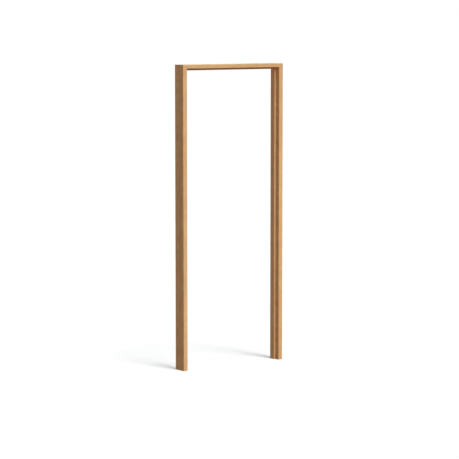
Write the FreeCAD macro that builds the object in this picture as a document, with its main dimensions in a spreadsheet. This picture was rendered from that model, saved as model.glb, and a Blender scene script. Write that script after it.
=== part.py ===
import FreeCAD, Part
import os

import Sketcher

# A door lining: two jambs and a head mitred at the corners, with planted stops.
# Millimetres. Origin at the middle of the feet on the floor, X across the opening,
# Z up, and the rebated face, where the leaf closes, towards -Y.

doc = FreeCAD.newDocument("DoorFrame")

# Driving dimensions. The opening follows from the leaf that the frame is made for.
DIMENSIONS = (
    ("leaf_width", 762.0),
    ("leaf_height", 2032.0),
    ("leaf_thickness", 35.0),
    ("leaf_gap", 3.0),
    ("floor_gap", 15.0),
    ("jamb_thickness", 32.0),
    ("head_thickness", 26.0),
    ("lining_depth", 100.0),
    ("edge_radius", 1.5),
    ("stop_thickness", 13.0),
    ("stop_width", 38.0),
    ("stop_clearance", 1.0),
    ("stop_edge_radius", 1.2),
    ("biscuit_length", 47.0),
    ("biscuit_width", 15.0),
    ("biscuit_thickness", 4.0),
    ("biscuit_end", 4.0),
    ("slot_play", 2.0),
    ("slot_clearance", 0.3),
    ("screw_length", 60.0),
    ("screw_shank", 4.5),
    ("screw_head", 9.0),
    ("screw_head_height", 4.0),
    ("screw_point", 6.0),
    ("recess_width", 5.2),
    ("recess_slot", 1.1),
    ("recess_depth", 2.4),
    ("brad_length", 35.0),
    ("brad_width", 1.3),
    ("brad_thickness", 1.0),
    ("brad_head", 2.2),
    ("brad_head_height", 0.9),
    ("brad_point", 2.0),
    ("brad_sunk", 0.6),
    ("brad_end_distance", 75.0),
    ("hole_clearance", 0.1),
)
JAMB_BRADS = 7
HEAD_BRADS = 3

sheet = doc.addObject("Spreadsheet::Sheet", "Sizes")
for row, (alias, value) in enumerate(DIMENSIONS, start=1):
    sheet.set(f"A{row}", alias)
    sheet.set(f"B{row}", str(value))
    sheet.setAlias(f"B{row}", alias)
doc.recompute()

# Places and sizes that several pieces share, as expressions of the cells.
CLEAR_WIDTH = "(Sizes.leaf_width + 2 * Sizes.leaf_gap)"
CLEAR_HEIGHT = "(Sizes.floor_gap + Sizes.leaf_height + Sizes.leaf_gap)"
INNER = f"({CLEAR_WIDTH} / 2)"
OUTER = f"({INNER} + Sizes.jamb_thickness)"
TOP = f"({CLEAR_HEIGHT} + Sizes.head_thickness)"
FRONT = "(-Sizes.lining_depth / 2)"
STOP_FRONT = f"({FRONT} + Sizes.leaf_thickness + Sizes.stop_clearance)"
STOP_MIDDLE = f"({STOP_FRONT} + Sizes.stop_width / 2)"
STOP_INNER = f"({INNER} - Sizes.stop_thickness)"
STOP_TOP = f"({CLEAR_HEIGHT} - Sizes.stop_thickness)"

# The middle of each mitre, and the mitre's slope from the horizontal.
MITRE_X = f"({INNER} + Sizes.jamb_thickness / 2)"
MITRE_Z = f"({CLEAR_HEIGHT} + Sizes.head_thickness / 2)"
MITRE_ANGLE = "atan(Sizes.head_thickness / Sizes.jamb_thickness)"

# A biscuit's edge and its slot's bottom are circles. Each passes through the middle
# of the long edge and the corner of the blunt end.
BISCUIT_HALF = "(Sizes.biscuit_length / 2)"
BISCUIT_RISE = "((Sizes.biscuit_width - Sizes.biscuit_end) / 2)"
BISCUIT_RADIUS = f"(({BISCUIT_HALF}^2 + {BISCUIT_RISE}^2) / (2 * {BISCUIT_RISE}))"
SLOT_DEPTH = "(Sizes.biscuit_width / 2 + Sizes.slot_clearance)"
SLOT_HALF = f"({BISCUIT_HALF} + Sizes.slot_play)"
SLOT_RISE = f"({SLOT_DEPTH} - Sizes.biscuit_end / 2)"
SLOT_RADIUS = f"(({SLOT_HALF}^2 + {SLOT_RISE}^2) / (2 * {SLOT_RISE}))"
SLOT_THICKNESS = "(Sizes.biscuit_thickness + 2 * Sizes.hole_clearance)"
SLOT_MOUTH = f"sqrt({SLOT_RADIUS}^2 - ({SLOT_RADIUS} - {SLOT_DEPTH})^2)"

# Each corner screw stands midway between the biscuit's slot and the lining's face.
SCREW_Y = f"(({SLOT_MOUTH} + Sizes.lining_depth / 2) / 2)"


def number(expression):
    """The present value of an expression of the sheet's cells."""
    value = sheet.evalExpression(expression)
    return float(getattr(value, "Value", value))


def bind(item, **expressions):
    """Ties properties of an object to expressions."""
    for name, expression in expressions.items():
        item.setExpression(name, expression)


def place(item, x="0", y="0", z="0", axis=None, angle="0"):
    """Ties an object's place, and its turn about one axis, to expressions."""
    if axis is not None:
        item.Placement.Rotation = FreeCAD.Rotation(FreeCAD.Vector(*axis), number(angle))
        item.setExpression("Placement.Rotation.Angle", angle)
    item.setExpression("Placement.Base.x", x)
    item.setExpression("Placement.Base.y", y)
    item.setExpression("Placement.Base.z", z)


def sketch_outline(body, plane_role, corners):
    """A closed outline of straight lines on one of the body's origin planes.

    Each corner is a pair of expressions, held by its distances from the origin.
    """
    sketch = body.newObject("Sketcher::SketchObject", body.Name + "_outline")
    plane = next(item for item in body.Origin.OriginFeatures if item.Role == plane_role)
    sketch.AttachmentSupport = (plane, [""])
    sketch.MapMode = "FlatFace"
    points = [FreeCAD.Vector(number(across), number(up), 0) for across, up in corners]
    count = len(points)
    for index in range(count):
        sketch.addGeometry(Part.LineSegment(points[index], points[(index + 1) % count]), False)
    for index in range(count):
        sketch.addConstraint(Sketcher.Constraint("Coincident", index, 2, (index + 1) % count, 1))
    for index, (across, up) in enumerate(corners):
        for kind, expression, value in (
            ("DistanceX", across, points[index].x),
            ("DistanceY", up, points[index].y),
        ):
            constraint = sketch.addConstraint(Sketcher.Constraint(kind, -1, 1, index, 1, value))
            name = f"corner{index}{kind[-1]}"
            sketch.renameConstraint(constraint, name)
            sketch.setExpression(f"Constraints.{name}", expression)
    return sketch


def pad(body, sketch, length):
    """Pads a sketch evenly to both sides of its plane."""
    feature = body.newObject("PartDesign::Pad", body.Name + "_pad")
    feature.Profile = sketch
    feature.Midplane = True
    bind(feature, Length=length)
    return feature


def ease_edges(body, base, chosen, radius):
    """Rounds the edges of a feature for which chosen(edge) is true."""
    doc.recompute()
    names = [f"Edge{index}" for index, edge in enumerate(base.Shape.Edges, start=1) if chosen(edge)]
    feature = body.newObject("PartDesign::Fillet", body.Name + "_arris")
    feature.Base = (base, names)
    bind(feature, Radius=radius)
    return feature


def turned(name, profile):
    """A body revolved about Z from a closed half-profile of (radius, height) corners."""
    body = doc.addObject("PartDesign::Body", name)
    sketch = sketch_outline(body, "XZ_Plane", profile)
    feature = body.newObject("PartDesign::Revolution", name + "_turned")
    feature.Profile = sketch
    feature.ReferenceAxis = (sketch, ["V_Axis"])
    feature.Angle = 360.0
    return body


def machined(name, blank, cutters):
    """The finished piece: its blank less all the cutters that work on it."""
    tool = doc.addObject("Part::MultiFuse", name + "_cutters")
    tool.Shapes = cutters
    cut = doc.addObject("Part::Cut", name)
    cut.Base = blank
    cut.Tool = tool
    cut.Label = name
    return cut


def is_along(edge, axis):
    """Whether a straight edge runs along one axis, 0 for X, 1 for Y or 2 for Z."""
    start, end = (vertex.Point for vertex in edge.Vertexes[:2])
    step = end - start
    return all(abs(step[other]) < 1e-6 for other in range(3) if other != axis)


def signed(side, expression):
    """An expression on the left (-1) or the right (+1) of the opening."""
    return f"(-1 * {expression})" if side < 0 else expression


# Boards

def jamb_blank(name, side):
    """A jamb's board, mitred at the top, with its long arrises eased."""
    body = doc.addObject("PartDesign::Body", name + "_blank")
    inner, outer = signed(side, INNER), signed(side, OUTER)
    sketch = sketch_outline(
        body, "XZ_Plane", [(outer, "0"), (inner, "0"), (inner, CLEAR_HEIGHT), (outer, TOP)]
    )
    board = pad(body, sketch, "Sizes.lining_depth")
    ease_edges(body, board, lambda edge: is_along(edge, 2), "Sizes.edge_radius")
    return body


def head_blank(name):
    """The head's board, mitred at both ends, with its long arrises eased."""
    body = doc.addObject("PartDesign::Body", name + "_blank")
    corners = [
        (signed(-1, INNER), CLEAR_HEIGHT),
        (INNER, CLEAR_HEIGHT),
        (OUTER, TOP),
        (signed(-1, OUTER), TOP),
    ]
    board = pad(body, sketch_outline(body, "XZ_Plane", corners), "Sizes.lining_depth")
    ease_edges(body, board, lambda edge: is_along(edge, 0), "Sizes.edge_radius")
    return body


# Stops

def jamb_stop_blank(name, side):
    """A strip from the floor to the head stop, its two arrises in the opening eased."""
    body = doc.addObject("PartDesign::Body", name + "_blank")
    face, inner = signed(side, INNER), signed(side, STOP_INNER)
    corners = [(face, "0"), (inner, "0"), (inner, STOP_TOP), (face, STOP_TOP)]
    strip = pad(body, sketch_outline(body, "XZ_Plane", corners), "Sizes.stop_width")
    edge_x = number(inner)
    ease_edges(
        body,
        strip,
        lambda edge: is_along(edge, 2) and abs(edge.Vertexes[0].X - edge_x) < 1e-6,
        "Sizes.stop_edge_radius",
    )
    place(body, y=STOP_MIDDLE)
    return body


def head_stop_blank(name):
    """A strip under the head from jamb to jamb, its two lower arrises eased."""
    body = doc.addObject("PartDesign::Body", name + "_blank")
    left = signed(-1, INNER)
    corners = [(left, STOP_TOP), (INNER, STOP_TOP), (INNER, CLEAR_HEIGHT), (left, CLEAR_HEIGHT)]
    strip = pad(body, sketch_outline(body, "XZ_Plane", corners), "Sizes.stop_width")
    edge_z = number(STOP_TOP)
    ease_edges(
        body,
        strip,
        lambda edge: is_along(edge, 0) and abs(edge.Vertexes[0].Z - edge_z) < 1e-6,
        "Sizes.stop_edge_radius",
    )
    place(body, y=STOP_MIDDLE)
    return body


# Mitre joints

def lens(name, radius, half_width, thickness, extra=()):
    """Two discs' common part: a lens lying in the YZ plane, long way along Y."""
    discs = []
    for hand, centre in (("lower", f"({half_width} - {radius})"), ("upper", f"({radius} - {half_width})")):
        disc = doc.addObject("Part::Cylinder", f"{name}_{hand}_disc")
        bind(disc, Radius=radius, Height=thickness)
        place(disc, x=f"-{thickness} / 2", z=centre, axis=(0, 1, 0), angle="90")
        discs.append(disc)
    shape = doc.addObject("Part::MultiCommon", name)
    shape.Shapes = discs + list(extra)
    return shape


def place_at_mitre(item, side):
    """Moves what lies about the origin to the middle of a mitre, its Z along the mitre's normal."""
    place(item, x=signed(side, MITRE_X), z=MITRE_Z, axis=(0, -side, 0), angle=MITRE_ANGLE)


def biscuit(name, side):
    """A lens-shaped biscuit with blunt ends, laid across the middle of a mitre."""
    ends = doc.addObject("Part::Box", name + "_ends")
    bind(
        ends,
        Length="Sizes.biscuit_thickness",
        Width="Sizes.biscuit_length",
        Height="Sizes.biscuit_width",
    )
    place(
        ends,
        x="-Sizes.biscuit_thickness / 2",
        y="-Sizes.biscuit_length / 2",
        z="-Sizes.biscuit_width / 2",
    )
    shape = lens(
        name, BISCUIT_RADIUS, "(Sizes.biscuit_width / 2)", "Sizes.biscuit_thickness", extra=[ends]
    )
    place_at_mitre(shape, side)
    return shape


def biscuit_slot(name, side):
    """The space for a biscuit, cut half into the jamb and half into the head."""
    shape = lens(name, SLOT_RADIUS, SLOT_DEPTH, SLOT_THICKNESS)
    place_at_mitre(shape, side)
    return shape


def corner_screw(name, side, face):
    """A countersunk screw driven down through the head, flush with the head's top."""
    blank = turned(
        name + "_blank",
        [
            ("0", "0"),
            ("Sizes.screw_head / 2", "0"),
            ("Sizes.screw_shank / 2", "-Sizes.screw_head_height"),
            ("Sizes.screw_shank / 2", "Sizes.screw_point - Sizes.screw_length"),
            ("0", "-Sizes.screw_length"),
        ],
    )
    slots = []
    for hand, long_side, short_side in (
        ("across", "Sizes.recess_width", "Sizes.recess_slot"),
        ("along", "Sizes.recess_slot", "Sizes.recess_width"),
    ):
        slot = doc.addObject("Part::Box", f"{name}_slot_{hand}")
        bind(slot, Length=long_side, Width=short_side, Height="Sizes.recess_depth")
        place(slot, x=f"-{long_side} / 2", y=f"-{short_side} / 2", z="-Sizes.recess_depth")
        slots.append(slot)
    screw = machined(name, blank, slots)
    place(screw, x=signed(side, MITRE_X), y=signed(face, SCREW_Y), z=TOP)
    return screw


def screw_hole(name, side, face):
    """The clearance hole and countersink of one corner screw."""
    hole = turned(
        name + "_hole",
        [
            ("0", "0"),
            ("Sizes.screw_head / 2 + Sizes.hole_clearance", "0"),
            ("Sizes.screw_shank / 2 + Sizes.hole_clearance", "-Sizes.screw_head_height"),
            ("Sizes.screw_shank / 2 + Sizes.hole_clearance", "-Sizes.screw_length - Sizes.hole_clearance"),
            ("0", "-Sizes.screw_length - Sizes.hole_clearance"),
        ],
    )
    place(hole, x=signed(side, MITRE_X), y=signed(face, SCREW_Y), z=TOP)
    return hole


# Stop brads

def brad(name, **where):
    """A flat T-headed brad with a chisel point, its head at the origin and its point down."""
    body = doc.addObject("PartDesign::Body", name)
    outline = [
        ("Sizes.brad_head / 2", "0"),
        ("Sizes.brad_head / 2", "-Sizes.brad_head_height"),
        ("Sizes.brad_width / 2", "-Sizes.brad_head_height"),
        ("Sizes.brad_width / 2", "Sizes.brad_point - Sizes.brad_length"),
        ("0", "-Sizes.brad_length"),
        ("-Sizes.brad_width / 2", "Sizes.brad_point - Sizes.brad_length"),
        ("-Sizes.brad_width / 2", "-Sizes.brad_head_height"),
        ("-Sizes.brad_head / 2", "-Sizes.brad_head_height"),
        ("-Sizes.brad_head / 2", "0"),
    ]
    pad(body, sketch_outline(body, "XZ_Plane", outline), "Sizes.brad_thickness")
    place(body, **where)
    return body


def brad_hole(name, **where):
    """The hole that a brad leaves, open at the stop's face, where the head is sunk."""
    body = doc.addObject("PartDesign::Body", name + "_hole")
    half_head = "(Sizes.brad_head / 2 + Sizes.hole_clearance)"
    half_width = "(Sizes.brad_width / 2 + Sizes.hole_clearance)"
    bottom = "(-Sizes.brad_length - Sizes.hole_clearance)"
    outline = [
        (half_head, "Sizes.brad_sunk"),
        (half_head, "-Sizes.brad_head_height"),
        (half_width, "-Sizes.brad_head_height"),
        (half_width, bottom),
        (f"-{half_width}", bottom),
        (f"-{half_width}", "-Sizes.brad_head_height"),
        (f"-{half_head}", "-Sizes.brad_head_height"),
        (f"-{half_head}", "Sizes.brad_sunk"),
    ]
    sketch = sketch_outline(body, "XZ_Plane", outline)
    pad(body, sketch, "Sizes.brad_thickness + 2 * Sizes.hole_clearance")
    place(body, **where)
    return body


def spaced(first, last, index, count):
    """One of several even places from the first to the last."""
    return f"({first} + {index} * ({last} - {first}) / {count - 1})"


pieces = []


def keep(item, name):
    """Labels a finished piece with its name and lists it."""
    item.Label = name
    pieces.append(item)


def keep_brads(prefix, places):
    """Keeps a brad at each place, and returns the holes that they leave."""
    holes = []
    for index, where in enumerate(places, start=1):
        name = f"{prefix}_brad_{index}"
        keep(brad(name, **where), name)
        holes.append(brad_hole(name, **where))
    return holes


head_cutters = []
for side, hand in ((-1, "left"), (1, "right")):
    keep(biscuit(f"{hand}_biscuit", side), f"{hand}_biscuit")
    corner_cutters = [biscuit_slot(f"{hand}_slot", side)]
    for face, position in ((-1, "front"), (1, "back")):
        name = f"{hand}_{position}_screw"
        keep(corner_screw(name, side, face), name)
        corner_cutters.append(screw_hole(name, side, face))
    head_cutters += corner_cutters

    # Each brad points from the opening into the jamb.
    low, high = "Sizes.brad_end_distance", f"({STOP_TOP} - Sizes.brad_end_distance)"
    places = [
        {
            "x": signed(side, f"({STOP_INNER} + Sizes.brad_sunk)"),
            "y": STOP_MIDDLE,
            "z": spaced(low, high, index, JAMB_BRADS),
            "axis": (0, -side, 0),
            "angle": "90",
        }
        for index in range(JAMB_BRADS)
    ]
    holes = keep_brads(f"{hand}_stop", places)
    keep(machined(f"{hand}_stop", jamb_stop_blank(f"{hand}_stop", side), holes), f"{hand}_stop")
    jamb = machined(f"{hand}_jamb", jamb_blank(f"{hand}_jamb", side), corner_cutters + holes)
    keep(jamb, f"{hand}_jamb")

# The head's brads point up.
end = f"({INNER} - Sizes.brad_end_distance)"
places = [
    {
        "x": spaced(signed(-1, end), end, index, HEAD_BRADS),
        "y": STOP_MIDDLE,
        "z": f"({STOP_TOP} + Sizes.brad_sunk)",
        "axis": (0, 1, 0),
        "angle": "180",
    }
    for index in range(HEAD_BRADS)
]
holes = keep_brads("head_stop", places)
keep(machined("head_stop", head_stop_blank("head_stop"), holes), "head_stop")
keep(machined("head", head_blank("head"), head_cutters + holes), "head")

doc.recompute()

for item in doc.Objects:
    if "Invalid" in item.State or "Error" in item.State:
        raise RuntimeError(f"{item.Name} is {item.State}")
for item in pieces:
    if item.Shape.isNull() or not item.Shape.isValid() or len(item.Shape.Solids) != 1:
        raise RuntimeError(f"{item.Label} has no sound single solid")

os.makedirs("parts", exist_ok=True)
for item in pieces:
    item.Shape.exportStep(os.path.join("parts", item.Label + ".step"))
    box = item.Shape.BoundBox
    print(
        f"{item.Label}: {item.Shape.Volume / 1000:.2f} cm3,"
        f" {box.XLength:.1f} x {box.YLength:.1f} x {box.ZLength:.1f} mm"
    )
print(f"{len(pieces)} pieces")
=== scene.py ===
# %% [markdown]
# # An oak door frame, finished in Blender
#
# The object is a door lining: two jambs and a head of light oak, mitred at the corners,
# with thin stop strips planted on their inner faces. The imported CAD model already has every
# board at its true size, so this notebook loads it as a fixed frame and works on what the
# eye reads as wood: the figure, the pores, the sheen of the oil and the light.

import math

import bpy
from mathutils import Matrix, Vector


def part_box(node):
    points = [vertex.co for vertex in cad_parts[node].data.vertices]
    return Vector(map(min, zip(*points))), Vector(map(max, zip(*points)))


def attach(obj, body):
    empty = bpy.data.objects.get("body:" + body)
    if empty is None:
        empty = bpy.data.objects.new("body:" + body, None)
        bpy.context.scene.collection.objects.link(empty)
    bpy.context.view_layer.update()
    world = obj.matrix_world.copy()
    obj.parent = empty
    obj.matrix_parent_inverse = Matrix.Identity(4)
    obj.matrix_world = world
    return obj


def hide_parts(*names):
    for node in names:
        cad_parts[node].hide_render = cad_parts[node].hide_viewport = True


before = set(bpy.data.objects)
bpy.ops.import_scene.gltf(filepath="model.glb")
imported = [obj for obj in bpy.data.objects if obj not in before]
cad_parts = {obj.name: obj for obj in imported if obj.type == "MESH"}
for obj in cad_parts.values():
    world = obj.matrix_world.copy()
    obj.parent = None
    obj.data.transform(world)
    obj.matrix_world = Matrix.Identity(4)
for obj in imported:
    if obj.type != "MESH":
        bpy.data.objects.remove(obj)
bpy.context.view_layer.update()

# %% [markdown]
# ## Sizes read from the frame
#
# Nothing is measured by hand here. The outline of each board comes from the frame, so the
# finish follows the boards if the frame is packed again with other sizes. The corner joint is
# a mitre: its cut runs from the inner corner of the opening to the outer corner of the frame.
# All lengths in this notebook are in metres, except where a printed line says millimetres.

# %% Board sizes
MILLIMETRES = 1000.0

jamb_low, jamb_high = (Vector(corner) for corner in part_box("right_jamb"))
stop_low, stop_high = (Vector(corner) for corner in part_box("right_stop"))
head_low, head_high = (Vector(corner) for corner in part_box("head"))
jamb_thickness = jamb_high.x - jamb_low.x
head_thickness = head_high.z - head_low.z
mitre_length = math.hypot(jamb_thickness, head_thickness)
print(f"jambs {jamb_thickness * MILLIMETRES:.1f} mm, head {head_thickness * MILLIMETRES:.1f} mm")
print(f"mitre {mitre_length * MILLIMETRES:.1f} mm")

# %% [markdown]
# ## Small helpers for node trees
#
# A node tree is a list of nodes and the links between their sockets. Each helper adds one
# node and returns its output, so that a tree can be written like a formula. A number given
# in place of an output is set on the socket itself.

# %% Sums and vectors
def plug(tree, socket, value):
    """Links an output into a socket, or sets a plain value on it."""
    if isinstance(value, bpy.types.NodeSocket):
        tree.links.new(value, socket)
    else:
        socket.default_value = value


def calculate(tree, operation, *values):
    """One Math node, for shader and geometry trees alike; returns its output."""
    node = tree.nodes.new("ShaderNodeMath")
    node.operation = operation
    for socket, value in zip(node.inputs, values):
        plug(tree, socket, value)
    return node.outputs[0]


def vector_of(tree, x, y, z):
    """A vector from three values."""
    node = tree.nodes.new("ShaderNodeCombineXYZ")
    for socket, value in zip(node.inputs, (x, y, z)):
        plug(tree, socket, value)
    return node.outputs[0]


def parts_of(tree, vector):
    """The three values of a vector."""
    node = tree.nodes.new("ShaderNodeSeparateXYZ")
    tree.links.new(vector, node.inputs[0])
    return node.outputs


print("sums and vectors ready")

# %% [markdown]
# ## Helpers for surfaces
#
# Nearly every mark on wood or metal starts as noise: smooth random blobs. A ramp turns part
# of its range into a mask from 0 to 1, and the mask then mixes colours, roughens the surface
# or embosses it. The ramp is a Map Range node with soft ends, so no mask has a hard rim.

# %% Noise, ramps, colours and relief
def noise(tree, vector, detail=2.0, roughness=0.5):
    """Smooth noise from 0 to 1 round one half, one blob for each unit of the vector."""
    node = tree.nodes.new("ShaderNodeTexNoise")
    node.inputs["Scale"].default_value = 1.0
    node.inputs["Detail"].default_value = detail
    node.inputs["Roughness"].default_value = roughness
    tree.links.new(vector, node.inputs["Vector"])
    return node.outputs["Fac"]


def ramp(tree, value, start, end, low=0.0, high=1.0):
    """Turns start..end into low..high with soft ends, and holds it there outside."""
    node = tree.nodes.new("ShaderNodeMapRange")
    node.interpolation_type = "SMOOTHSTEP"
    plug(tree, node.inputs["Value"], value)
    limits = {"From Min": start, "From Max": end, "To Min": low, "To Max": high}
    for name, number in limits.items():
        plug(tree, node.inputs[name], number)
    return node.outputs["Result"]


def blend_colour(tree, share, first, second, way="MIX"):
    """Mixes two colours; each is an output or an (r, g, b)."""
    node = tree.nodes.new("ShaderNodeMix")
    node.data_type = "RGBA"
    node.blend_type = way
    plug(tree, node.inputs["Factor"], share)
    for name, colour in (("A", first), ("B", second)):
        socket = next(s for s in node.inputs if s.name == name and s.type == "RGBA")
        is_output = isinstance(colour, bpy.types.NodeSocket)
        plug(tree, socket, colour if is_output else (*colour, 1.0))
    return next(s for s in node.outputs if s.type == "RGBA")


def emboss(tree, shader, height, strength, distance):
    """Raises and sinks the surface a little, as a height says."""
    bump = tree.nodes.new("ShaderNodeBump")
    bump.inputs["Strength"].default_value = strength
    bump.inputs["Distance"].default_value = distance
    tree.links.new(height, bump.inputs["Height"])
    tree.links.new(bump.outputs["Normal"], shader.inputs["Normal"])


def new_material(name):
    """A material with only a Principled shader; returns the material and the shader."""
    material = bpy.data.materials.new(name)
    material.use_nodes = True
    return material, material.node_tree.nodes["Principled BSDF"]


print("surface helpers ready")

# %% [markdown]
# ## Where each board lay in its tree
#
# Oak is ring-porous. Each year it lays down a band of wide pores, then dense wood, so a
# sawn board shows fine dark dashes in bands, with plain wood between. A picture of a board
# would fit one face only. Here the wood is a solid pattern instead: a Mapping node says where
# the tree's pith runs beside the board and how the trunk is turned, and every point of the
# board then gets its distance from the pith. The long grain on the edges, the arches where a
# face cuts the rings flat and the curved bands on the end grain all come from that one tree.
# The jambs and their stops stand in upright trunks, the head and its stop in a lying one.

# %% Trunks
UPRIGHT = (0.0, 0.0, 0.0)
LYING = (0.0, math.pi / 2, 0.0)
#     board: a point on the pith in metres, the trunk's turn, and the board's own tone, which on the
#         right stop is made paler as painted light and on the head stop darker as painted shade
TRUNKS = {
    "left_jamb": ((-0.490, 0.020, -3.1), UPRIGHT, (1.00, 1.00, 1.00)),
    "right_jamb": ((0.475, -0.030, -11.7), UPRIGHT, (1.00, 1.00, 0.99)),
    "head": ((-7.3, 0.030, 2.160), LYING, (0.99, 1.00, 0.97)),
    "left_stop": ((-0.350, 0.090, -19.2), UPRIGHT, (1.03, 1.01, 0.99)),
    # right stop: its own tone, made paler as painted light on its front face
    "right_stop": ((0.330, 0.070, -27.9), UPRIGHT, (1.06, 1.04, 1.02)),
    # head stop: its own tone, made darker as painted shade under the head
    "head_stop": ((-35.4, 0.080, 2.100), LYING, (0.86, 0.83, 0.76)),
}


def trunk_coordinates(tree, place, pith, turn):
    """Turns a place in the frame into two distances across the trunk and one along it."""
    mapping = tree.nodes.new("ShaderNodeMapping")
    mapping.vector_type = "TEXTURE"
    mapping.inputs["Location"].default_value = pith
    mapping.inputs["Rotation"].default_value = turn
    tree.links.new(place, mapping.inputs["Vector"])
    return parts_of(tree, mapping.outputs["Vector"])


def stretched(tree, across, depth, along, density_across, density_along):
    """A vector for noise, with so many blobs to the metre across the grain and along it."""
    return vector_of(
        tree,
        calculate(tree, "MULTIPLY", across, density_across),
        calculate(tree, "MULTIPLY", depth, density_across),
        calculate(tree, "MULTIPLY", along, density_along),
    )


print("trunks for", ", ".join(TRUNKS))

# %% [markdown]
# ## Growth rings
#
# The distance from the pith, divided by the width of a year's growth, gives the ring, and
# what is left over says how far into the year a point grew. Slow noise first bends the
# distance, because a trunk is never a true cylinder, and this bending draws the arches. The
# porous spring wood sets in fast and fades out slowly, as it does in the tree.

# %% Growth rings
RING_WIDTH = 0.0032
TRUNK_WANDER = 0.075
#   noise is given as blobs to the metre, across the grain and along it
WANDER_BLOBS = (1.0, 1.3)
WANDER_DETAIL = 3.0
SPRING_SETS_IN = (0.0, 0.12)
SPRING_FADES = (0.22, 0.62)


def growth_rings(tree, across, depth, along):
    """The bent distance from the pith, and how far a point lies in porous spring wood."""
    squares = [calculate(tree, "MULTIPLY", value, value) for value in (across, depth)]
    straight = calculate(tree, "SQRT", calculate(tree, "ADD", *squares))
    slow = noise(tree, stretched(tree, across, depth, along, *WANDER_BLOBS), WANDER_DETAIL)
    bend = calculate(tree, "MULTIPLY", calculate(tree, "SUBTRACT", slow, 0.5), TRUNK_WANDER)
    distance = calculate(tree, "ADD", straight, bend)
    year = calculate(tree, "FRACT", calculate(tree, "DIVIDE", distance, RING_WIDTH))
    starting = ramp(tree, year, *SPRING_SETS_IN)
    ending = ramp(tree, year, *SPRING_FADES, 1.0, 0.0)
    return distance, calculate(tree, "MULTIPLY", starting, ending)


print(f"{0.1 / RING_WIDTH:.0f} rings to each 100 mm")

# %% [markdown]
# ## Pores and rays
#
# Pores are cut lengthwise by the saw, so they show as dashes over twenty times longer than
# wide, most of them in the spring wood of each ring. Rays, which run from the pith outwards,
# show as short pale flecks. Both are stretched noise, of which a ramp keeps only the peaks.

# %% Pores and rays
PORE_BLOBS = (3200.0, 135.0)
PORE_CUT = (0.56, 0.68)
PORES_IN_DENSE_WOOD = 0.15
#   along the ray, across it and along the trunk
RAY_BLOBS = (90.0, 900.0, 130.0)
RAY_CUT = (0.60, 0.74)
PLAIN_DETAIL = 1.0


def pores(tree, across, depth, along, spring):
    """1 in a cut pore, 0 in the wood round it."""
    spots = noise(tree, stretched(tree, across, depth, along, *PORE_BLOBS), PLAIN_DETAIL)
    crowding = calculate(
        tree, "MULTIPLY_ADD", spring, 1.0 - PORES_IN_DENSE_WOOD, PORES_IN_DENSE_WOOD
    )
    return calculate(tree, "MULTIPLY", ramp(tree, spots, *PORE_CUT), crowding)


def rays(tree, depth, along, distance):
    """1 in a ray fleck, 0 elsewhere."""
    stretch = [
        calculate(tree, "MULTIPLY", value, blobs)
        for value, blobs in zip((distance, depth, along), RAY_BLOBS)
    ]
    return ramp(tree, noise(tree, vector_of(tree, *stretch), PLAIN_DETAIL), *RAY_CUT)


print(f"pores {PORE_BLOBS[0] / PORE_BLOBS[1]:.0f} times longer than wide")

# %% [markdown]
# ## Worn arrises
#
# Some things on a real frame belong to the piece and not to the wood. The sanded arrises, the
# long rounded corners, take the rub of hands and dusters, so they are a little paler and
# smoother. An edge mask could be painted or read from the mesh. Here it is a plain distance
# from the board's faces, worked out from its size, with noise that makes the wear patchy.

# %% Worn arrises
WEAR_BLOBS = (60.0, 60.0)
WEAR_LEAST_REACH = 0.0008
WEAR_PATCHY_REACH = 0.004
#   the share of its reach in which the wear is full
WEAR_FULL = 0.2


def distance_from_faces(tree, value, low, high):
    """How deep a value lies between two faces of a board."""
    middle, half = (low + high) / 2, (high - low) / 2
    offset = calculate(tree, "ABSOLUTE", calculate(tree, "SUBTRACT", value, middle))
    return calculate(tree, "SUBTRACT", half, offset)


def arris_wear(tree, board, position, along):
    """1 on the long rounded corners of a board, 0 a few millimetres away."""
    low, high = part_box(board)
    axes = [axis for axis in range(3) if axis != along]
    depths = [distance_from_faces(tree, position[axis], low[axis], high[axis]) for axis in axes]
    patchy = noise(tree, stretched(tree, *position, *WEAR_BLOBS))
    reach = calculate(tree, "MULTIPLY_ADD", patchy, WEAR_PATCHY_REACH, WEAR_LEAST_REACH)
    nearness = calculate(tree, "DIVIDE", calculate(tree, "MAXIMUM", *depths), reach)
    return ramp(tree, nearness, WEAR_FULL, 1.0, 1.0, 0.0)


print(f"wear reaches {WEAR_LEAST_REACH * MILLIMETRES:.1f} mm or more from an arris")

# %% [markdown]
# ## Closed joints and painted shade in the inner corners
#
# Where two boards meet there is a hairline that holds shadow and glue: along the mitre at the top
# corners, and where a jamb's stop butts under the head's stop. The inner corners beside the stops
# are darkened as painted shade. These too are distances from planes whose places are known.

# %% Joints and inner corners
MITRE_HAIRLINE = (0.0002, 0.0006)
BUTT_HAIRLINE = (0.0002, 0.0005)
# reach of the painted shade in the inner corners beside the stops
CORNER_PAINTED_SHADE = (0.0004, 0.0035)


def off_jamb_face(tree, position):
    """How far a point lies outwards from the jambs' inner faces, left and right alike."""
    return calculate(tree, "SUBTRACT", calculate(tree, "ABSOLUTE", position[0]), jamb_low.x)


def off_head_face(tree, position):
    """How far a point lies above the head's under face."""
    return calculate(tree, "SUBTRACT", position[2], head_low.z)


def mitre_line(tree, position):
    """1 in the hairline of the two mitred corners."""
    upwards, sideways = off_head_face(tree, position), off_jamb_face(tree, position)
    off_line = calculate(
        tree,
        "SUBTRACT",
        calculate(tree, "MULTIPLY", upwards, jamb_thickness / mitre_length),
        calculate(tree, "MULTIPLY", sideways, head_thickness / mitre_length),
    )
    return ramp(tree, calculate(tree, "ABSOLUTE", off_line), *MITRE_HAIRLINE, 1.0, 0.0)


def butt_line(tree, position):
    """1 in the hairline where a jamb's stop meets the head's stop."""
    off_line = calculate(tree, "ABSOLUTE", calculate(tree, "SUBTRACT", position[2], stop_high.z))
    return ramp(tree, off_line, *BUTT_HAIRLINE, 1.0, 0.0)


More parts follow.
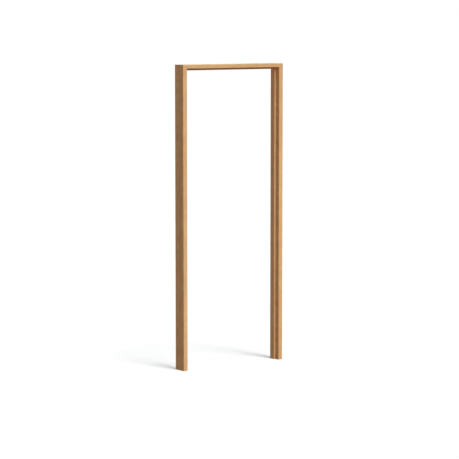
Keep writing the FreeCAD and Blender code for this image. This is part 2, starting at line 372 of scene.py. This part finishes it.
def inner_corner_shade(tree, board, position):
    """Painted shade: 1 in the two inner corners beside a stop, 0 a few millimetres away."""
    off_face = off_head_face if board.startswith("head") else off_jamb_face
    off_stop = distance_from_faces(tree, position[1], stop_low.y, stop_high.y)
    squares = [
        calculate(tree, "MULTIPLY", value, value)
        for value in (off_face(tree, position), off_stop)
    ]
    distance = calculate(tree, "SQRT", calculate(tree, "ADD", *squares))
    return ramp(tree, distance, *CORNER_PAINTED_SHADE, 1.0, 0.0)


print("joints at", round(head_low.z, 4), "and", round(stop_high.z, 4), "m")

# %% [markdown]
# ## The colour of oiled oak
#
# The layers go on in the order that a painter would use: pale wood with broad and fine streaks, the
# darker spring wood, pale rays, dark pores, worn arrises, the feet, which are a little darker and
# redder towards the floor, the end grain under them, painted shade in the inner corners, and last
# the hairlines of the joints. Real oak is never one hue, so soft clouds a few centimetres wide turn
# the whole colour a little rosy or straw, and a little darker or paler. Last comes each board's own
# tone, which on the right stop is also painted light and on the head stop painted shade.

# %% Oak colours
OAK_PALE = (0.735, 0.488, 0.252)
OAK_MIDDLE = (0.655, 0.412, 0.196)
# the darker, redder colour that the feet take on towards the floor
OAK_NEAR_FLOOR = (0.560, 0.320, 0.140)
OAK_END = (0.420, 0.250, 0.110)
ROSY_TINT = (1.010, 0.975, 0.960)
STRAW_TINT = (0.992, 1.025, 1.040)
#   layer: its colour, and how strongly it covers what lies under it
OAK_LAYERS = {
    "spring": ((0.470, 0.262, 0.115), 0.30),
    "ray": ((0.800, 0.560, 0.330), 0.22),
    "pore": ((0.210, 0.110, 0.045), 0.75),
    "worn": ((0.790, 0.550, 0.320), 0.30),
    # the corner layer is painted shade in the inner corners beside the stops
    "corner": ((0.330, 0.150, 0.040), 0.40),
    "joint": ((0.120, 0.060, 0.025), 0.75),
}
STREAK_RANGE = (0.36, 0.64)
CLOUD_RANGE = (0.35, 0.65)
CLOUD_TONES = (0.965, 1.040)
# how high the darkening towards the floor reaches, and how strong it is at the floor
NEAR_FLOOR_HEIGHT, NEAR_FLOOR_STRENGTH = 0.35, 0.20
END_GRAIN_EDGE, END_GRAIN_STRENGTH = (0.0002, 0.0006), 0.40


def lay_over(tree, colour, masks, layer):
    """Lays one of the oak's layers over a colour."""
    own_colour, strength = OAK_LAYERS[layer]
    share = calculate(tree, "MULTIPLY", masks[layer], strength)
    return blend_colour(tree, share, colour, own_colour)


def oak_colour(tree, masks, tone):
    """The colour of one board, from its masks and its own tone; the tone also holds painted light
    on the right stop and painted shade on the head stop.
    """
    colour = blend_colour(
        tree, ramp(tree, masks["streaks"], *STREAK_RANGE), OAK_PALE, OAK_MIDDLE
    )
    for layer in ("spring", "ray", "pore", "worn"):
        colour = lay_over(tree, colour, masks, layer)
    # the feet are a little darker and redder towards the floor
    near_floor = ramp(tree, masks["height"], 0.0, NEAR_FLOOR_HEIGHT, NEAR_FLOOR_STRENGTH, 0.0)
    colour = blend_colour(tree, near_floor, colour, OAK_NEAR_FLOOR)
    end_grain = ramp(tree, masks["height"], *END_GRAIN_EDGE, END_GRAIN_STRENGTH, 0.0)
    colour = blend_colour(tree, end_grain, colour, OAK_END)
    # the corner layer lays painted shade into the inner corners, the joint layer the dark hairlines
    for layer in ("corner", "joint"):
        colour = lay_over(tree, colour, masks, layer)
    tint = blend_colour(tree, ramp(tree, masks["hue"], *CLOUD_RANGE), ROSY_TINT, STRAW_TINT)
    cloud = ramp(tree, masks["cloud"], *CLOUD_RANGE, *CLOUD_TONES)
    for filter_colour in (tint, vector_of(tree, cloud, cloud, cloud), tone):
        colour = blend_colour(tree, 1.0, colour, filter_colour, "MULTIPLY")
    return colour


print(len(OAK_LAYERS), "layers over the streaked wood")

# %% [markdown]
# ## The sheen and relief of oiled oak
#
# The oil is matt, so the wood has only a weak gloss. Pores stay a little rough and a little
# sunk under it, and worn arrises are polished by hands, so the masks that drive the colour
# drive the roughness and the bump as well. The gloss itself is the same all over, so it is
# set on the shader's own socket.

# %% Oak sheen and relief
OAK_GLOSS = 0.12
OAK_ROUGHNESS, FINE_ROUGHNESS = 0.44, 0.14
PORE_ROUGHNESS, WORN_ROUGHNESS = 0.25, -0.08
FINE_RELIEF, JOINT_RELIEF = 0.25, -2.0
RELIEF_STRENGTH, RELIEF_DISTANCE = 0.35, 0.0002


def oak_surface(tree, shader, masks):
    """Sets the roughness, gloss and relief of one board."""
    rough = calculate(tree, "MULTIPLY_ADD", masks["fine"], FINE_ROUGHNESS, OAK_ROUGHNESS)
    rough = calculate(tree, "MULTIPLY_ADD", masks["pore"], PORE_ROUGHNESS, rough)
    rough = calculate(tree, "MULTIPLY_ADD", masks["worn"], WORN_ROUGHNESS, rough)
    tree.links.new(rough, shader.inputs["Roughness"])
    shader.inputs["Specular IOR Level"].default_value = OAK_GLOSS
    fibres = calculate(tree, "MULTIPLY", masks["fine"], FINE_RELIEF)
    relief = calculate(tree, "SUBTRACT", fibres, masks["pore"])
    relief = calculate(tree, "MULTIPLY_ADD", masks["joint"], JOINT_RELIEF, relief)
    emboss(tree, shader, relief, RELIEF_STRENGTH, RELIEF_DISTANCE)


print(f"roughness {OAK_ROUGHNESS} to {OAK_ROUGHNESS + FINE_ROUGHNESS:.2f} in plain wood")

# %% [markdown]
# ## Oil on the boards
#
# Each board gets its own material, because each came from its own place in a tree. The
# material starts from Object coordinates, which are the frame's own metres here, so the
# figure runs through the board as it would in real wood and doesn't slide over it.

# %% Oiled boards
BROAD_STREAKS = (45.0, 0.9)
FINE_STREAKS = (420.0, 7.0)
HUE_CLOUDS = (16.0, 13.0)
TONE_CLOUDS = (23.0, 17.0)
STREAK_DETAIL, BROAD_GRAININESS, FINE_GRAININESS = 3.0, 0.55, 0.6
BROAD_SHARE, FINE_SHARE = 0.62, 0.38
#   the axis that a board's length follows
LENGTHWISE = {UPRIGHT: 2, LYING: 0}


def oak_masks(tree, board, place, pith, turn):
    """All the masks of one board and its height above the floor, by name."""
    position = parts_of(tree, place)
    across, depth, along = trunk_coordinates(tree, place, pith, turn)
    distance, spring = growth_rings(tree, across, depth, along)
    broad = noise(
        tree, stretched(tree, across, depth, along, *BROAD_STREAKS), STREAK_DETAIL, BROAD_GRAININESS
    )
    fine = noise(
        tree, stretched(tree, across, depth, along, *FINE_STREAKS), STREAK_DETAIL, FINE_GRAININESS
    )
    streaks = calculate(
        tree,
        "ADD",
        calculate(tree, "MULTIPLY", broad, BROAD_SHARE),
        calculate(tree, "MULTIPLY", fine, FINE_SHARE),
    )
    joint = butt_line(tree, position) if "stop" in board else mitre_line(tree, position)
    return {
        "streaks": streaks,
        "fine": fine,
        "spring": spring,
        "ray": rays(tree, depth, along, distance),
        "pore": pores(tree, across, depth, along, spring),
        "worn": arris_wear(tree, board, position, LENGTHWISE[turn]),
        # painted shade in the inner corners beside the stops
        "corner": inner_corner_shade(tree, board, position),
        "joint": joint,
        "height": position[2],
        "hue": noise(tree, stretched(tree, across, depth, along, *HUE_CLOUDS)),
        "cloud": noise(tree, stretched(tree, depth, across, along, *TONE_CLOUDS)),
    }


def oiled_oak(board):
    """The finish of one board, from its place in its own tree."""
    pith, turn, tone = TRUNKS[board]
    material, shader = new_material(f"oak_{board}")
    tree = material.node_tree
    place = tree.nodes.new("ShaderNodeTexCoord").outputs["Object"]
    masks = oak_masks(tree, board, place, pith, turn)
    tree.links.new(oak_colour(tree, masks, tone), shader.inputs["Base Color"])
    oak_surface(tree, shader, masks)
    return material


def dress(name, material):
    """Gives a CAD node its finish."""
    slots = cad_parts[name].data.materials
    slots.clear()
    slots.append(material)


for board in TRUNKS:
    dress(board, oiled_oak(board))
print("oiled oak on", len(TRUNKS), "boards")

# %% [markdown]
# ## Zinc-plated steel
#
# The screws and the brads are zinc-plated steel. Plating is a thin crust of crystals, so it
# is blotched and never a mirror. One noise makes the blotches of tone and roughness, and a
# second, much longer than wide, makes the fine scratches of a driven fastener.

# %% Zinc
ZINC_GREY = (0.55, 0.55, 0.54)
ZINC_PALE = (0.65, 0.65, 0.63)
BLOTCH_BLOBS, BLOTCH_DETAIL = (900.0, 900.0, 900.0), 3.0
SCRATCH_BLOBS, SCRATCH_DETAIL = (9000.0, 1200.0, 9000.0), 2.0
BLOTCH_TONE_RANGE = (0.35, 0.65)
BLOTCH_SHEEN_RANGE, ZINC_ROUGHNESS = (0.3, 0.7), (0.24, 0.36)
SCRATCH_RANGE, SCRATCH_ROUGHNESS = (0.5, 0.7), (0.0, 0.10)
PLATING_STRENGTH, PLATING_DISTANCE = 0.2, 0.00005


def solid_noise(tree, blobs, detail):
    """Noise in the piece's own space, with so many blobs to the metre on each axis."""
    coordinates = tree.nodes.new("ShaderNodeTexCoord")
    mapping = tree.nodes.new("ShaderNodeMapping")
    mapping.inputs["Scale"].default_value = blobs
    tree.links.new(coordinates.outputs["Object"], mapping.inputs["Vector"])
    return noise(tree, mapping.outputs["Vector"], detail)


def zinc_plated_steel():
    """Pale zinc, slightly blotched, with fine scratches."""
    material, shader = new_material("zinc_plated_steel")
    tree = material.node_tree
    blotch = solid_noise(tree, BLOTCH_BLOBS, BLOTCH_DETAIL)
    scratch = solid_noise(tree, SCRATCH_BLOBS, SCRATCH_DETAIL)
    tone = ramp(tree, blotch, *BLOTCH_TONE_RANGE)
    colour = blend_colour(tree, tone, ZINC_GREY, ZINC_PALE)
    tree.links.new(colour, shader.inputs["Base Color"])
    rough = calculate(
        tree,
        "ADD",
        ramp(tree, blotch, *BLOTCH_SHEEN_RANGE, *ZINC_ROUGHNESS),
        ramp(tree, scratch, *SCRATCH_RANGE, *SCRATCH_ROUGHNESS),
    )
    tree.links.new(rough, shader.inputs["Roughness"])
    shader.inputs["Metallic"].default_value = 1.0
    emboss(tree, shader, blotch, PLATING_STRENGTH, PLATING_DISTANCE)
    return material


steel = zinc_plated_steel()
brads = [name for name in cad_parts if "brad" in name]
for name in brads:
    dress(name, steel)
print(len(brads), "brads plated")

# %% [markdown]
# ## Pressed beech
#
# The biscuits in the mitres are pressed beech, a plain pale wood with short dark flecks.
# They are hidden once the joint is closed, so slow noise for the tone and fast noise for the
# flecks are enough, both longer along the biscuit than across it.

# %% Beech
BEECH_PALE = (0.74, 0.53, 0.35)
BEECH_BROWN = (0.62, 0.41, 0.25)
BEECH_FLECK = (0.36, 0.20, 0.11)
TONE_BLOBS, TONE_DETAIL, TONE_RANGE = (60.0, 14.0, 60.0), 2.0, (0.35, 0.65)
FLECK_BLOBS, FLECK_RANGE, FLECK_STRENGTH = (1500.0, 260.0, 1500.0), (0.58, 0.68), 0.7
BEECH_SHEEN_RANGE, BEECH_ROUGHNESS = (0.4, 0.7), (0.62, 0.80)
BEECH_GLOSS = 0.2


def pressed_beech():
    """Pale beech with short dark flecks along its length."""
    material, shader = new_material("pressed_beech")
    tree = material.node_tree
    tone = solid_noise(tree, TONE_BLOBS, TONE_DETAIL)
    fleck = solid_noise(tree, FLECK_BLOBS, PLAIN_DETAIL)
    colour = blend_colour(tree, ramp(tree, tone, *TONE_RANGE), BEECH_PALE, BEECH_BROWN)
    share = ramp(tree, fleck, *FLECK_RANGE, 0.0, FLECK_STRENGTH)
    colour = blend_colour(tree, share, colour, BEECH_FLECK)
    tree.links.new(colour, shader.inputs["Base Color"])
    rough = ramp(tree, fleck, *BEECH_SHEEN_RANGE, *BEECH_ROUGHNESS)
    tree.links.new(rough, shader.inputs["Roughness"])
    shader.inputs["Specular IOR Level"].default_value = BEECH_GLOSS
    return material


beech = pressed_beech()
biscuits = [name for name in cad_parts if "biscuit" in name]
for name in biscuits:
    dress(name, beech)
print(len(biscuits), "biscuits finished")

# %% [markdown]
# ## Helpers for geometry trees
#
# A geometry tree makes a mesh the way a shader tree makes a colour. Its named inputs are the
# sizes of the piece, so that one tree makes many pieces. The tree runs in a Geometry Nodes
# modifier. Its result is then copied to a plain mesh and the modifier is taken off, so that
# what is left is an ordinary object that can be posed and exported.

# %% Geometry tree helpers
def add_node(tree, kind, **settings):
    """One node with its settings."""
    node = tree.nodes.new(kind)
    for name, value in settings.items():
        setattr(node, name, value)
    return node


def fill_inputs(tree, node, **values):
    """Fills a node's inputs by name; _ stands for a space."""
    for name, value in values.items():
        plug(tree, node.inputs[name.replace("_", " ")], value)
    return node


def new_tree(name, inputs):
    """An empty geometry tree with named inputs; returns it and its input node."""
    tree = bpy.data.node_groups.new(name, "GeometryNodeTree")
    tree.interface.new_socket(name="Geometry", in_out="OUTPUT", socket_type="NodeSocketGeometry")
    for label, kind in inputs.items():
        tree.interface.new_socket(name=label, in_out="INPUT", socket_type=f"NodeSocket{kind}")
    return tree, tree.nodes.new("NodeGroupInput").outputs


def finish_tree(tree, geometry, material):
    """Ends a tree in Realize Instances and Set Material."""
    realized = fill_inputs(tree, tree.nodes.new("GeometryNodeRealizeInstances"), Geometry=geometry)
    painted = tree.nodes.new("GeometryNodeSetMaterial")
    fill_inputs(tree, painted, Geometry=realized.outputs[0], Material=material)
    tree.links.new(painted.outputs[0], tree.nodes.new("NodeGroupOutput").inputs[0])


def grow(name, tree, values):
    """Runs a geometry tree once and returns its result as a plain object."""
    piece = bpy.data.objects.new(name, bpy.data.meshes.new(name))
    bpy.context.scene.collection.objects.link(piece)
    modifier = piece.modifiers.new("grow", "NODES")
    modifier.node_group = tree
    for item in tree.interface.items_tree:
        if item.in_out == "INPUT":
            modifier[item.identifier] = values[item.name]
    graph = bpy.context.evaluated_depsgraph_get()
    mesh = bpy.data.meshes.new_from_object(piece.evaluated_get(graph), depsgraph=graph)
    piece.modifiers.remove(modifier)
    piece.data = mesh
    mesh.name = name
    mesh.materials.clear()
    mesh.materials.append(values["Finish"])
    mesh.polygons.foreach_set("material_index", [0] * len(mesh.polygons))
    return piece


print("geometry helpers ready")

# %% [markdown]
# ## The shape of a corner screw
#
# Two countersunk wood screws pull each mitre shut. The CAD model has them as smooth cones and
# rods of the right size, and the real ones have a thread, a plain neck under the head and a
# tapered cross recess. A thread could be swept along a spiral, but then it has to be welded
# to the rod. Here Geometry Nodes start from one tall cylinder of radius one, with many rings
# of points, and one formula moves each point in or out: its radius depends on how deep it
# lies below the head and on its angle. The wider of cone and rod gives the head and neck, a
# saw-tooth of depth and angle gives the thread, and a narrowing share gives the point, all in
# one closed skin.

# %% Screw radius
#   how far a crest reaches to each side, as a share of one turn of the thread
CREST_REACH = 0.25
POINT_TIP_RADIUS = 0.0001


def thread_radius(tree, size, below_head, angle):
    """The radius of the threaded part, with one crest in each turn."""
    core = calculate(tree, "MULTIPLY", size["Core Diameter"], 0.5)
    crest_radius = calculate(tree, "MULTIPLY", size["Thread Diameter"], 0.5)
    crest_height = calculate(tree, "SUBTRACT", crest_radius, core)
    turns = calculate(tree, "DIVIDE", below_head, size["Pitch"])
    part_turn = calculate(tree, "DIVIDE", angle, 2 * math.pi)
    phase = calculate(tree, "FRACT", calculate(tree, "ADD", turns, part_turn))
    from_crest = calculate(tree, "ABSOLUTE", calculate(tree, "SUBTRACT", phase, 0.5))
    slope = calculate(tree, "MULTIPLY_ADD", from_crest, -1.0 / CREST_REACH, 1.0)
    crest = calculate(tree, "MAXIMUM", slope, 0.0)
    return calculate(tree, "MULTIPLY_ADD", crest, crest_height, core)


def screw_radius(tree, size, below_head, angle):
    """The radius of the screw at a depth below the head and an angle round it."""
    # the neck lies midway between core and crest: half of their mean diameter
    both = calculate(tree, "ADD", size["Core Diameter"], size["Thread Diameter"])
    neck = calculate(tree, "MULTIPLY", both, 0.25)
    thread = thread_radius(tree, size, below_head, angle)
    is_thread = calculate(tree, "GREATER_THAN", below_head, size["Neck Length"])
    past_neck = calculate(tree, "SUBTRACT", thread, neck)
    rod = calculate(tree, "MULTIPLY_ADD", is_thread, past_neck, neck)
    head_radius = calculate(tree, "MULTIPLY", size["Head Diameter"], 0.5)
    overhang = calculate(tree, "SUBTRACT", head_radius, neck)
    slope = calculate(tree, "DIVIDE", overhang, size["Head Height"])
    cone = calculate(tree, "SUBTRACT", head_radius, calculate(tree, "MULTIPLY", below_head, slope))
    to_tip = calculate(tree, "SUBTRACT", size["Length"], below_head)
    narrowing = calculate(tree, "DIVIDE", to_tip, size["Point Length"])
    point = calculate(tree, "MULTIPLY", narrowing, thread)
    radius = calculate(tree, "MINIMUM", calculate(tree, "MAXIMUM", rod, cone), point)
    return calculate(tree, "MAXIMUM", radius, POINT_TIP_RADIUS)


print("a crest takes", 2 * CREST_REACH, "of each turn")

# %% [markdown]
# ## The screw blank
#
# The blank is as long as the screw and stands on its middle. Its points are moved to the
# radius that the formula gives, and down, so that the head's top face lies at height zero.
# The rings of points lie so close that each turn of the thread gets at least six of them.

# %% Screw tree
SCREW_INPUTS = {
    "Length": "Float",
    "Head Diameter": "Float",
    "Head Height": "Float",
    "Thread Diameter": "Float",
    "Core Diameter": "Float",
    "Neck Length": "Float",
    "Point Length": "Float",
    "Pitch": "Float",
    "Recess Width": "Float",
    "Recess Slot": "Float",
    "Recess Depth": "Float",
    "Turn": "Float",
    "Place": "Vector",
    "Finish": "Material",
}
FACETS = 32
RINGS_OF_POINTS = 168

screw_tree, size = new_tree("wood_screw", SCREW_INPUTS)
blank = add_node(screw_tree, "GeometryNodeMeshCylinder", fill_type="NGON")
fill_inputs(screw_tree, blank, Vertices=FACETS, Side_Segments=RINGS_OF_POINTS)
fill_inputs(screw_tree, blank, Radius=1.0, Depth=size["Length"])
x, y, z = parts_of(screw_tree, screw_tree.nodes.new("GeometryNodeInputPosition").outputs[0])
half_length = calculate(screw_tree, "MULTIPLY", size["Length"], 0.5)
below_head = calculate(screw_tree, "SUBTRACT", half_length, z)
radius = screw_radius(screw_tree, size, below_head, calculate(screw_tree, "ARCTAN2", y, x))
shaped = screw_tree.nodes.new("GeometryNodeSetPosition")
moved_to = vector_of(
    screw_tree,
    calculate(screw_tree, "MULTIPLY", x, radius),
    calculate(screw_tree, "MULTIPLY", y, radius),
    calculate(screw_tree, "MULTIPLY", below_head, -1.0),
)
fill_inputs(screw_tree, shaped, Geometry=blank.outputs["Mesh"], Position=moved_to)
print("screw blank:", FACETS, "facets,", RINGS_OF_POINTS, "rings of points")

# %% [markdown]
# ## The cross recess
#
# The driver's bit fits a cross that narrows downwards. It is one bar with sloping flanks,
# placed twice, a quarter turn apart, and cut out of the head with a boolean. The two bars run
# through each other, so the exact solver is told to expect that.

# %% Recess and place
RECESS_TAPER = 0.25

double_depth = calculate(screw_tree, "MULTIPLY", size["Recess Depth"], 2.0)
bar_size = vector_of(screw_tree, size["Recess Width"], size["Recess Slot"], double_depth)
bar = fill_inputs(screw_tree, screw_tree.nodes.new("GeometryNodeMeshCube"), Size=bar_size)
up_the_bar = calculate(screw_tree, "DIVIDE", z, size["Recess Depth"])
taper = calculate(screw_tree, "MULTIPLY_ADD", up_the_bar, RECESS_TAPER, 1.0 - RECESS_TAPER)
tapered = screw_tree.nodes.new("GeometryNodeSetPosition")
narrowed = vector_of(
    screw_tree,
    calculate(screw_tree, "MULTIPLY", x, taper),
    calculate(screw_tree, "MULTIPLY", y, taper),
    z,
)
fill_inputs(screw_tree, tapered, Geometry=bar.outputs["Mesh"], Position=narrowed)
two_points = add_node(screw_tree, "GeometryNodeMeshLine", mode="OFFSET")
fill_inputs(screw_tree, two_points, Count=2, Offset=(0.0, 0.0, 0.0))
number = screw_tree.nodes.new("GeometryNodeInputIndex").outputs[0]
quarter_turn = calculate(screw_tree, "MULTIPLY", number, math.pi / 2)
crossed = fill_inputs(
    screw_tree,
    screw_tree.nodes.new("GeometryNodeInstanceOnPoints"),
    Points=two_points.outputs["Mesh"],
    Instance=tapered.outputs[0],
    Rotation=vector_of(screw_tree, 0.0, 0.0, quarter_turn),
)
cutter = screw_tree.nodes.new("GeometryNodeRealizeInstances")
fill_inputs(screw_tree, cutter, Geometry=crossed.outputs[0])
cut = add_node(screw_tree, "GeometryNodeMeshBoolean", operation="DIFFERENCE", solver="EXACT")
fill_inputs(screw_tree, cut, Mesh_1=shaped.outputs[0], Mesh_2=cutter.outputs[0])
fill_inputs(screw_tree, cut, Self_Intersection=True)
placed = fill_inputs(
    screw_tree,
    screw_tree.nodes.new("GeometryNodeTransform"),
    Geometry=cut.outputs["Mesh"],
    Translation=size["Place"],
    Rotation=vector_of(screw_tree, 0.0, 0.0, size["Turn"]),
)
finish_tree(screw_tree, placed.outputs[0], size["Finish"])
print("screw tree has", len(screw_tree.nodes), "nodes")

# %% [markdown]
# ## Four screws in their holes
#
# The place, length and head of each screw come from the CAD screw that it stands for. The
# other widths of a wood screw go with its head's, and its neck, point and pitch are as long
# as on other screws of its length. Each cross was left at another angle by the driver. Smooth
# shading rounds the facets, and edges sharper than a limit are kept sharp, so the head's rim
# and the recess stay crisp.

# %% Four screws
SCREW_TURNS = {
    "left_front_screw": 0.4,
    "left_back_screw": 1.1,
    "right_front_screw": 0.1,
    "right_back_screw": 0.8,
}
SHARES_OF_HEAD = {
    "Head Diameter": 1.0,
    "Head Height": 0.44,
    "Thread Diameter": 0.49,
    "Core Diameter": 0.33,
    "Recess Width": 0.56,
    "Recess Slot": 0.13,
    "Recess Depth": 0.26,
}
OWN_LENGTHS = {"Neck Length": 0.020, "Point Length": 0.007, "Pitch": 0.0024}
SHARP_ANGLE = math.radians(35.0)

for name, turn in SCREW_TURNS.items():
    low, high = (Vector(corner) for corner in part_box(name))
    head_diameter = high.x - low.x
    values = {label: head_diameter * share for label, share in SHARES_OF_HEAD.items()}
    values.update(OWN_LENGTHS)
    values["Length"] = high.z - low.z
    values["Turn"] = turn
    values["Place"] = ((low.x + high.x) / 2, (low.y + high.y) / 2, high.z)
    values["Finish"] = steel
    screw = grow(f"{name}_threaded", screw_tree, values)
    screw.data.shade_smooth()
    screw.data.set_sharp_from_angle(angle=SHARP_ANGLE)
    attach(screw, "root")
    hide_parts(name)
    print(name, len(screw.data.polygons), "faces")

# %% [markdown]
# ## The floor
#
# The picture is a plain product picture: white all round, with a short shadow behind each
# foot. To the camera the floor is white, part of it by its own glow, so that the shadow stays
# as faint as in the picture. The light that the floor throws back on the boards is dimmer and
# warm, and keeps their shaded sides deep brown. The Light Path node tells the two apart.

# %% Floor
FLOOR_HALF = 200.0
FLOOR_GLOW = 0.296
FLOOR_PAINT = (0.686, 0.696, 0.702)
FLOOR_THROWN_BACK = (0.37, 0.25, 0.20)
BLACK, WHITE = (0.0,) * 3, (1.0,) * 3


def seen_directly(tree):
    """1 for a ray that shows the background itself, 0 for light on its way to a board."""
    path = tree.nodes.new("ShaderNodeLightPath").outputs
    direct = calculate(tree, "MAXIMUM", path["Is Camera Ray"], path["Is Glossy Ray"])
    return calculate(tree, "MAXIMUM", direct, path["Is Transmission Ray"])


floor_material, floor_shader = new_material("floor_white")
floor_tree = floor_material.node_tree
direct = seen_directly(floor_tree)
paint = blend_colour(floor_tree, direct, FLOOR_THROWN_BACK, FLOOR_PAINT)
glow = blend_colour(floor_tree, direct, BLACK, (FLOOR_GLOW,) * 3)
floor_tree.links.new(paint, floor_shader.inputs["Base Color"])
floor_tree.links.new(glow, floor_shader.inputs["Emission Color"])
floor_shader.inputs["Emission Strength"].default_value = 1.0
floor_shader.inputs["Roughness"].default_value = 1.0
floor_shader.inputs["Specular IOR Level"].default_value = 0.0

signs = ((-1, -1), (1, -1), (1, 1), (-1, 1))
floor_corners = [(right * FLOOR_HALF, back * FLOOR_HALF, 0.0) for right, back in signs]
floor_mesh = bpy.data.meshes.new("floor")
floor_mesh.from_pydata(floor_corners, [], [(0, 1, 2, 3)])
floor_mesh.materials.append(floor_material)
floor = bpy.data.objects.new("floor", floor_mesh)
bpy.context.scene.collection.objects.link(floor)
print("floor", 2 * FLOOR_HALF, "m wide")

# %% [markdown]
# ## Light
#
# The shadows are thin and dark at the foot, run almost straight back, and fade out in a faint
# arch, which is the shadow of the head. A tall narrow strip light high in front does that,
# made here of three lamps one above the other. The front faces are the brightest, so a wide
# lamp stands low in front, and a weak one behind keeps the back from going black. All are sun
# lamps, which light the whole floor evenly, and a plain dim sky fills in what they miss. The
# camera sees that sky as white, so that no horizon shows behind the frame.

# %% Lamps and sky
#   lamp: strength, azimuth, height above the floor and apparent width, the last three in degrees
STUDIO_LAMPS = {
    "strip_light_1": (0.150, 4.0, 83.0, 6.0),
    "strip_light_2": (0.160, 4.0, 75.0, 8.0),
    "strip_light_3": (0.205, 4.0, 67.5, 9.0),
    "low_softbox": (0.69, 3.5, 34.0, 46.0),
    "back_softbox": (0.20, 176.0, 15.0, 60.0),
}
SKY_LIGHT = (0.142, 0.141, 0.139)


def direction(azimuth, height):
    """The way towards a lamp; azimuth turns from the front towards the right."""
    turn, rise = math.radians(azimuth), math.radians(height)
    level = math.cos(rise)
    return Vector((math.sin(turn) * level, -math.cos(turn) * level, math.sin(rise)))


def studio_lamp(name, strength, azimuth, height, width):
    """A sun lamp. A white card square to it looks as bright as its strength says."""
    lamp = bpy.data.lights.new(name, "SUN")
    lamp.energy = strength * math.pi
    lamp.angle = math.radians(width)
    holder = bpy.data.objects.new(name, lamp)
    towards = direction(azimuth, height)
    holder.matrix_world = towards.to_track_quat("Z", "Y").to_matrix().to_4x4()
    bpy.context.scene.collection.objects.link(holder)


for name, lamp in STUDIO_LAMPS.items():
    studio_lamp(name, *lamp)

world = bpy.data.worlds.new("sky")
bpy.context.scene.world = world
world.use_nodes = True
sky = world.node_tree
sky.nodes.clear()
background = sky.nodes.new("ShaderNodeBackground")
sky_colour = blend_colour(sky, seen_directly(sky), SKY_LIGHT, WHITE)
sky.links.new(sky_colour, background.inputs["Color"])
output = sky.nodes.new("ShaderNodeOutputWorld")
sky.links.new(background.outputs[0], output.inputs["Surface"])
bpy.context.scene.view_settings.view_transform = "Standard"
print(len(STUDIO_LAMPS), "lamps and a sky")

# %% [markdown]
# ## Camera
#
# The frame is seen from its left front with a long lens, from a little above the head, so the
# camera looks slightly down. Its place was worked out from the frame's corners in the picture.
# The lens came out in pixels of that picture, and the sensor's width turns it into millimetres.

# %% Camera
CAMERA_PLACE = Vector((-7.829, -11.121, 2.395))
CAMERA_YAW = math.radians(35.14)
CAMERA_DOWN = math.radians(6.11)
FOCAL_PIXELS = 1986.4
IMAGE_SIDE = 459
SENSOR_WIDTH = 36.0
CAMERA_REACH = 500.0

camera_data = bpy.data.cameras.new("camera")
camera_data.sensor_width = SENSOR_WIDTH
camera_data.lens = FOCAL_PIXELS / IMAGE_SIDE * SENSOR_WIDTH
camera_data.clip_end = CAMERA_REACH
camera = bpy.data.objects.new("camera", camera_data)
bpy.context.scene.collection.objects.link(camera)
level = math.cos(CAMERA_DOWN)
looking = Vector(
    (math.sin(CAMERA_YAW) * level, math.cos(CAMERA_YAW) * level, -math.sin(CAMERA_DOWN))
)
facing = looking.to_track_quat("-Z", "Y").to_matrix().to_4x4()
camera.matrix_world = Matrix.Translation(CAMERA_PLACE) @ facing
bpy.context.scene.camera = camera
print(f"camera lens {camera_data.lens:.1f} mm")
